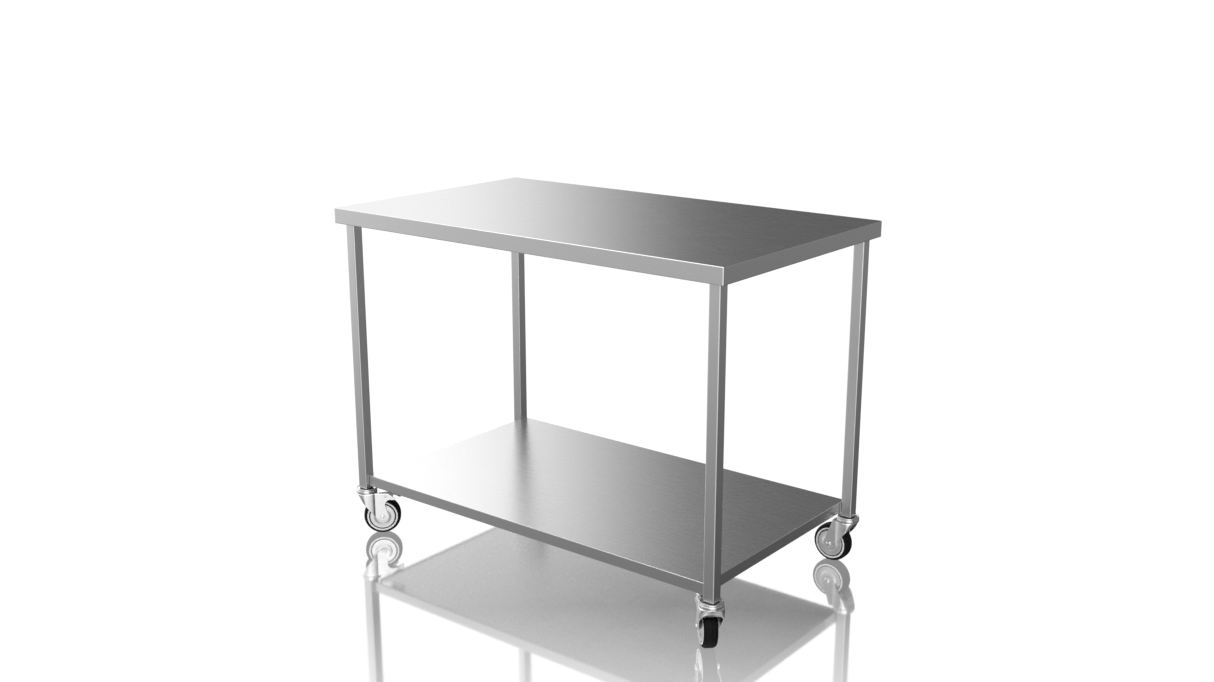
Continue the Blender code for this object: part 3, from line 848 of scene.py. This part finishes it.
def axle_bolt_mesh():
    """A bolt with a low domed head above the +Z cheek and a chamfered end below the nut."""
    seat = CHEEK_FACE + GAP
    tail = -seat - 0.0055
    profile = [
        (0.0001, seat + 0.0036),
        (0.0030, seat + 0.0034, 0.0060),
        (0.0058, seat + 0.0026, 0.0030),
        (0.0073, seat + 0.0012, 0.0010),
        (0.0073, seat, 0.0002),
        (AXLE_RADIUS, seat, 0.0001),
        (AXLE_RADIUS, tail + 0.0008, 0.0001),
        (AXLE_RADIUS - 0.0008, tail, 0.0001),
        (0.0001, tail),
    ]
    points = rounded(profile, 4, closed=False)
    return lathe("axle_bolt", [(0, points[0][1])] + points[1:-1] + [(0, tail)], 48)


def axle_nut_mesh():
    """A hexagon nut with turned corners, over a thin washer."""
    seat = -CHEEK_FACE - GAP
    low = seat - 0.0045
    outlines = [circle((0, 0), 0.0078, 6), circle((0, 0), AXLE_RADIUS + 0.0002, 32)]
    hexagon = prism("nut_blank", outlines, low, seat - 0.0008)
    turned_edge = rounded([(0.0070, low), (0.0078, low + 0.0005), (0.0078, seat)], 2, closed=False)
    cone = lathe("nut_cone", [(0, low), *turned_edge, (0, seat)], 64)
    nut = cut(hexagon, "INTERSECT", cone)
    washer_profile = rounded(
        [
            (AXLE_RADIUS + 0.0002, seat),
            (0.0080, seat, 0.0002),
            (0.0080, seat - 0.0009, 0.0002),
            (AXLE_RADIUS + 0.0002, seat - 0.0009),
        ],
        2,
    )
    washer = lathe("washer", washer_profile, 48)
    return smooth(merged("axle_nut", nut, washer))


def swivel_head_mesh():
    """The fixed race: a dish under the leg, a neck, and a wide rolled ring."""
    profile = [
        (0.0066, DISH_FLOOR),
        (0.0240, DISH_FLOOR, 0.0010),
        (0.0252, DISH_TOP, 0.0005),
        (0.0270, DISH_TOP, 0.0007),
        (0.0270, DISH_TOP - 0.0026, 0.0008),
        (0.0256, DISH_TOP - 0.0034, 0.0006),
        (0.0256, HEAD_BOTTOM + 0.0058, 0.0006),
        (0.0285, HEAD_BOTTOM + 0.0048, 0.0010),
        (0.0285, LIP_BOTTOM + 0.0004, 0.0012),
        (0.0272, LIP_BOTTOM, 0.0005),
        (0.0258, LIP_BOTTOM, 0.0004),
        (0.0254, HEAD_BOTTOM, 0.0004),
        (0.0236, HEAD_BOTTOM, 0.0004),
        (0.0236, CROWN_TOP + 0.0052, 0.0008),
        (0.0170, CROWN_TOP + 0.0052, 0.0008),
        (0.0170, HEAD_BOTTOM, 0.0004),
        (0.0066, HEAD_BOTTOM),
    ]
    return lathe("swivel_head", rounded(profile, 5), 128)


def ball_race_mesh():
    """Caged balls between the fixed ring and the fork."""
    height = CROWN_TOP + GAP + BALL_RADIUS
    count = 24
    bm = bmesh.new()
    for number in range(count):
        angle = 2 * math.pi * number / count
        spot = (BALL_RING_RADIUS * math.cos(angle), BALL_RING_RADIUS * math.sin(angle), height)
        place = Matrix.Translation(spot)
        bmesh.ops.create_uvsphere(bm, u_segments=16, v_segments=10, radius=BALL_RADIUS, matrix=place)
    return smooth(from_bmesh("ball_race", bm), 80)


def kingpin_mesh():
    """The stem, with a riveted collar under the fork's crown."""
    collar_top = CROWN_TOP - FORK_SHEET - GAP
    profile = [
        (0.0001, 0.158),
        (KINGPIN_RADIUS, 0.158, 0.0008),
        (KINGPIN_RADIUS, collar_top, 0.0003),
        (0.0112, collar_top, 0.0003),
        (0.0108, collar_top - 0.0018, 0.0012),
        (0.0088, collar_top - 0.0036, 0.0010),
        (0.0001, collar_top - 0.0036),
    ]
    points = rounded(profile, 4, closed=False)
    return lathe("kingpin", [(0, points[0][1])] + points[1:-1] + [(0, points[-1][1])], 64)


def fork_plan(radius, cheek, rear):
    """Plan of the fork: round in front, drawn in to two flat cheeks behind a crease."""
    shoulder = Vector((0.0180, radius * 0.92))
    crease = Vector((CREASE_X, cheek))
    start_angle = 78
    front_angle = 174
    start = radius * Vector((math.cos(math.radians(start_angle)), math.sin(math.radians(start_angle))))
    drawn = []
    for step in range(1, 8):
        t = step / 8
        drawn.append(tuple(crease * (1 - t) ** 2 + shoulder * 2 * t * (1 - t) + start * t * t))
    half = [(rear, cheek), tuple(crease), *drawn] + arc((0, 0), radius, start_angle, front_angle, 24)
    return half + [(x, -y) for x, y in reversed(half)]


def cheek_outline(braked):
    """Side view of the fork: the slanting skirt, the rounded end at the axle and the rear edge."""
    outline = [
        (-0.0400, 0.1300),
        (-0.0400, 0.1080),
        (-0.0202, 0.1080),
        (CREASE_X, 0.0525, 0.008),
        (0.0330, 0.0440, 0.010),
        (0.0475, 0.0395, 0.011),
        (0.0562, 0.0520, 0.011),
    ]
    if braked:
        outline += [
            (0.0488, 0.0810, 0.030),
            (0.0475, 0.0886, 0.010),
            (0.0525, 0.0960, 0.008),
            (0.0595, 0.1000, 0.006),
            (0.0665, 0.0990, 0.006),
            (0.0745, 0.0990, 0.003),
            (0.0778, 0.1020, 0.002),
            (0.0555, CROWN_TOP - 0.0002, 0.006),
            (0.0400, CROWN_TOP + 0.0002),
            (0.0390, 0.1300),
        ]
    else:
        outline += [
            (0.0480, 0.0720, 0.030),
            (0.0395, 0.0960, 0.030),
            (0.0345, 0.1100, 0.010),
            (0.0315, 0.1190, 0.004),
            (0.0315, 0.1300),
        ]
    return rounded(outline, 6)


# The skirt: the levels cut into it, how far its front slopes in and over what depth, and how square it gets.
SKIRT_LEVELS = 27
SKIRT_LOW = 0.0373
SKIRT_STEP = 0.003
SKIRT_SLOPE = 0.0225
SKIRT_SLOPE_DEPTH = 0.020
SKIRT_SQUARE_DEPTH = 0.014
SKIRT_SQUARENESS = 1.5


def draw_in(mesh):
    """Slopes the front of the fork's skirt inwards and flattens it, as the press leaves it."""
    bm = bmesh.new()
    bm.from_mesh(mesh)
    for level in range(SKIRT_LEVELS):
        faces = [face for face in bm.faces if face.calc_center_median().x < -0.0001]
        edges = list({edge for face in faces for edge in face.edges})
        geometry = list({vertex for face in faces for vertex in face.verts}) + edges + faces
        height = SKIRT_LOW + SKIRT_STEP * level
        bmesh.ops.bisect_plane(bm, geom=geometry, plane_co=(0, 0, height), plane_no=(0, 0, 1))
    for vertex in bm.verts:
        depth = CROWN_TOP - vertex.co.z
        across = Vector((vertex.co.x, vertex.co.y))
        if vertex.co.x >= 0 or depth <= 0:
            continue
        front = CROWN_RADIUS - SKIRT_SLOPE * (1 - math.exp(-depth / SKIRT_SLOPE_DEPTH))
        squareness = 2 + SKIRT_SQUARENESS * min(depth / SKIRT_SQUARE_DEPTH, 1.0)
        way = across.normalized()
        reach = (abs(way.x) / front) ** squareness + (abs(way.y) / CROWN_RADIUS) ** squareness
        across -= way * (CROWN_RADIUS - reach ** (-1 / squareness))
        vertex.co.x = across.x
        vertex.co.y = across.y
    bmesh.ops.recalc_face_normals(bm, faces=bm.faces)
    bm.to_mesh(mesh)
    bm.free()


def fork_mesh(name, braked):
    """The pressed fork, cut from a hollow blank by its side view and then bored."""
    blank_rear = 0.098
    blank_foot = 0.030
    crown_bend = 0.0038
    hollow_rear = 0.120
    hollow_foot = 0.020
    view_half_width = 0.050
    bore_half_width = 0.040
    bore_low = 0.100
    bore_high = 0.130
    slot_front = 0.0335
    slot_rear = 0.110
    slot_low = 0.112
    blank = prism("fork_blank", [fork_plan(CROWN_RADIUS, CHEEK_FACE, blank_rear)], blank_foot, CROWN_TOP)
    bm = bmesh.new()
    bm.from_mesh(blank)
    bmesh.ops.dissolve_faces(bm, faces=[face for face in bm.faces if face.normal.z > 0.5])
    crown = max(bm.faces, key=lambda face: face.normal.z)
    bmesh.ops.bevel(bm, geom=list(crown.edges), offset=crown_bend, segments=8, profile=0.5, affect="EDGES")
    bmesh.ops.recalc_face_normals(bm, faces=bm.faces)
    bm.to_mesh(blank)
    bm.free()
    inner = fork_plan(CROWN_RADIUS - FORK_SHEET, CHEEK_FACE - FORK_SHEET, hollow_rear)
    hollow = prism("fork_hollow", [inner], hollow_foot, CROWN_TOP - FORK_SHEET)
    view = side_prism("fork_view", [cheek_outline(braked)], view_half_width)
    axle_hole = circle((TRAIL, WHEEL_RADIUS), AXLE_RADIUS + GAP)
    bores = [prism("kingpin_bore", [circle((0, 0), KINGPIN_RADIUS + GAP)], bore_low, bore_high)]
    bores.append(side_prism("axle_bore", [axle_hole], bore_half_width))
    if braked:
        pin_hole = circle(PEDAL_PIVOT, PIN_RADIUS + GAP)
        bores.append(side_prism("pin_bore", [pin_hole], bore_half_width))
        side = CHEEK_FACE - FORK_SHEET
        slot = [(slot_front, side), (slot_front, -side), (slot_rear, -side), (slot_rear, side)]
        bores.append(prism("pedal_slot", [slot], slot_low, bore_high))
    draw_in(blank)
    draw_in(hollow)
    mesh = cut(blank, "DIFFERENCE", hollow)
    mesh = cut(mesh, "INTERSECT", view)
    mesh = cut(mesh, "DIFFERENCE", *bores)
    bm = bmesh.new()
    bm.from_mesh(mesh)
    bmesh.ops.remove_doubles(bm, verts=bm.verts, dist=0.0003)
    bmesh.ops.dissolve_degenerate(bm, edges=bm.edges, dist=0.0001)
    bm.to_mesh(mesh)
    bm.free()
    mesh = even_shading(shaped(mesh, edge_bevel(0.0003, 3, 42)), 31)
    mesh.name = name
    return mesh


def brake_pedal_mesh():
    """A bent foot plate with turned-down edges and pressed grip ribs."""
    bends = [(0.0340, 0.1202), (0.0560, 0.1202, 0.014), (0.0800, 0.1136, 0.016), (0.0913, 0.1074)]
    spine = [Vector(point) for point in rounded(bends, 8, closed=False)]
    stations = [spine[0]]
    for start, end in zip(spine, spine[1:]):
        count = max(1, round((end - start).length / 0.0007))
        stations += [start.lerp(end, (i + 1) / count) for i in range(count)]
    tip_start = 0.0865
    tip_length = 0.0048
    turned_down = 0.0165
    turn_width = 0.0035
    turn_drop = 0.0022
    ribs_start = 0.072
    ribs_end = 0.089
    ribs_half_width = 0.0130
    rib_height = 0.0005
    rib_pitch = 0.0042
    across = [-0.0200, -0.0197, -0.0190, -0.0178, -0.0160, -0.0140, -0.0120, -0.0060, 0.0]
    across += [-y for y in reversed(across[:-1])]
    bm = bmesh.new()
    rows = []
    for here in stations:
        tip = max(0.0, (here.x - tip_start) / tip_length)
        narrowing = 1 - 0.10 * tip * tip
        row = []
        for y in across:
            edge = max(0.0, abs(y) - turned_down) / turn_width
            rib = 0.0
            if ribs_start < here.x < ribs_end and abs(y) < ribs_half_width:
                rib = rib_height * max(0.0, math.sin((here.x - ribs_start) * 2 * math.pi / rib_pitch))
            row.append(bm.verts.new((here.x, y * narrowing, here.y - turn_drop * edge * edge + rib)))
        rows.append(row)
    for first, second in zip(rows, rows[1:]):
        for i in range(len(across) - 1):
            bm.faces.new((first[i], second[i], second[i + 1], first[i + 1]))
    bmesh.ops.recalc_face_normals(bm, faces=bm.faces)
    if rows[0][0].link_faces[0].normal.z < 0:
        bmesh.ops.reverse_faces(bm, faces=bm.faces)
    plate = shaped(from_bmesh("brake_plate", bm), solidify(0.0018))
    return smooth(shaped(plate, edge_bevel(0.0003, 2, 60)), 40)


def brake_bracket_mesh():
    """Two ears under the foot plate that turn on the pin, and the shoe between them."""
    ear_outline = rounded(
        [
            (0.0440, 0.1186),
            (0.0575, 0.1184, 0.004),
            (0.0700, 0.1150),
            (0.0700, 0.1035, 0.003),
            (0.0680, 0.0985, 0.003),
            (0.0570, 0.1020, 0.004),
            (0.0500, 0.1035, 0.006),
            (0.0440, 0.1070, 0.004),
        ],
        4,
    )
    hole = circle(PEDAL_PIVOT, PIN_RADIUS + GAP, 32)
    ears = [side_prism(f"ear_{side}", [ear_outline, hole], 0.0010, side * 0.0090) for side in (-1, 1)]
    shoe_outline = rounded(
        [
            (0.0698, 0.1040, 0.001),
            (0.0698, 0.1018, 0.001),
            (0.0680, 0.0977, 0.001),
            (0.0572, 0.1016, 0.001),
            (0.0578, 0.1036, 0.001),
            (0.0668, 0.1006, 0.001),
        ],
        4,
    )
    shoe = side_prism("shoe", [shoe_outline], 0.0095)
    barrel_outlines = [circle(PEDAL_PIVOT, 0.0050, 32), hole]
    barrel = side_prism("barrel", barrel_outlines, 0.0075)
    return smooth(merged("brake_bracket", *ears, shoe, barrel))


def brake_pin_mesh():
    """A plain pin with soft ends, through both cheeks."""
    end = CHEEK_FACE + GAP
    profile = [(0.0001, end), (PIN_RADIUS, end, 0.0005), (PIN_RADIUS, -end, 0.0005), (0.0001, -end)]
    points = rounded(profile, 3, closed=False)
    return lathe("brake_pin", [(0, end)] + points[1:-1] + [(0, -end)], 40)


def add_castors():
    meshes = {
        "tyre": tyre_mesh(),
        "wheel_centre": wheel_centre_mesh(),
        "thread_guard": thread_guard_mesh(),
        "axle_bolt": axle_bolt_mesh(),
        "axle_nut": axle_nut_mesh(),
        "swivel_head": swivel_head_mesh(),
        "ball_race": ball_race_mesh(),
        "kingpin": kingpin_mesh(),
        "fork": fork_mesh("fork", False),
        "braked_fork": fork_mesh("braked_fork", True),
        "brake_pedal": brake_pedal_mesh(),
        "brake_bracket": brake_bracket_mesh(),
        "brake_pin": brake_pin_mesh(),
    }
    for corner in CORNERS:
        foot = Vector(joints[f"swivel_{corner}"]["pos_m"])
        axle = Vector(joints[f"spin_{corner}"]["pos_m"])
        trail = math.atan2(axle.y - foot.y, axle.x - foot.x)
        under_leg = Matrix.Translation((foot.x, foot.y, 0)) @ Matrix.Rotation(trail, 4, "Z")
        on_axle = Matrix.Translation(axle) @ Matrix.Rotation(trail, 4, "Z")
        near = on_axle @ Matrix.Rotation(math.pi / 2, 4, "X")
        far = near @ Matrix.Rotation(math.pi, 4, "X")
        table = "table"
        castor = f"castor_{corner}"
        wheel = f"wheel_{corner}"
        pieces = [
            ("swivel_head", ZINC, table, "zinc_steel", ["swivel_head"], under_leg),
            ("ball_race", ZINC, table, "zinc_steel", ["ball_ring"], under_leg),
            ("kingpin", ZINC, table, "zinc_steel", ["kingpin"], under_leg),
            ("axle_bolt", ZINC, castor, "zinc_steel", ["axle_bolt"], far),
            ("axle_nut", ZINC, castor, "zinc_steel", ["axle_nut"], far),
            ("tyre", RUBBER, wheel, "black_rubber", ["tyre"], near),
            ("wheel_centre", WHITE, wheel, "white_polyamide", ["wheel_centre"], near),
            ("thread_guard", GUARD, wheel, "guard_steel", ["thread_guard_near"], near),
            ("thread_guard", GUARD, wheel, "guard_steel", ["thread_guard_far"], far),
        ]
        if f"brake_{corner}" in joints:
            pedal = f"pedal_{corner}"
            pieces += [
                ("braked_fork", ZINC, castor, "zinc_steel", ["fork"], under_leg),
                ("brake_pedal", ZINC, pedal, "zinc_steel", ["brake_pedal"], under_leg),
                ("brake_bracket", ZINC, pedal, "zinc_steel", [], under_leg),
                ("brake_pin", ZINC, castor, "zinc_steel", ["brake_pin"], None),
            ]
        else:
            pieces.append(("fork", ZINC, castor, "zinc_steel", ["fork"], under_leg))
        for kind, material, body, slot, replaced, matrix in pieces:
            if kind == "brake_pin":
                pivot = Matrix.Translation((PEDAL_PIVOT[0], 0, PEDAL_PIVOT[1]))
                matrix = under_leg @ pivot @ Matrix.Rotation(math.pi / 2, 4, "X")
            label = replaced[0] if replaced else kind
            cad = [f"{node}_{corner}" for node in replaced]
            add_piece(f"fine_{label}_{corner}", meshes[kind], material, body, cad, matrix)


# ---------------------------------------------------------------- the whole


def dress(node, material):
    """Gives a CAD node that keeps its shape a material."""
    mesh = nodes[node].data
    mesh.materials.clear()
    mesh.materials.append(material)


for corner in CORNERS:
    dress(f"leg_insert_{corner}", DARK)
dress("shelf_base_panel", DULL)

add_sheets()
add_tubes()
add_stiffener()
add_welds()
add_castors()

make_camera()
make_world()
make_floor()
make_light("key", azimuth=312, elevation=55, distance=4.0, size=4.2, power=78)
make_light("top", azimuth=200, elevation=75, distance=4.0, size=4.2, power=60)
bpy.context.scene.view_settings.view_transform = "Standard"
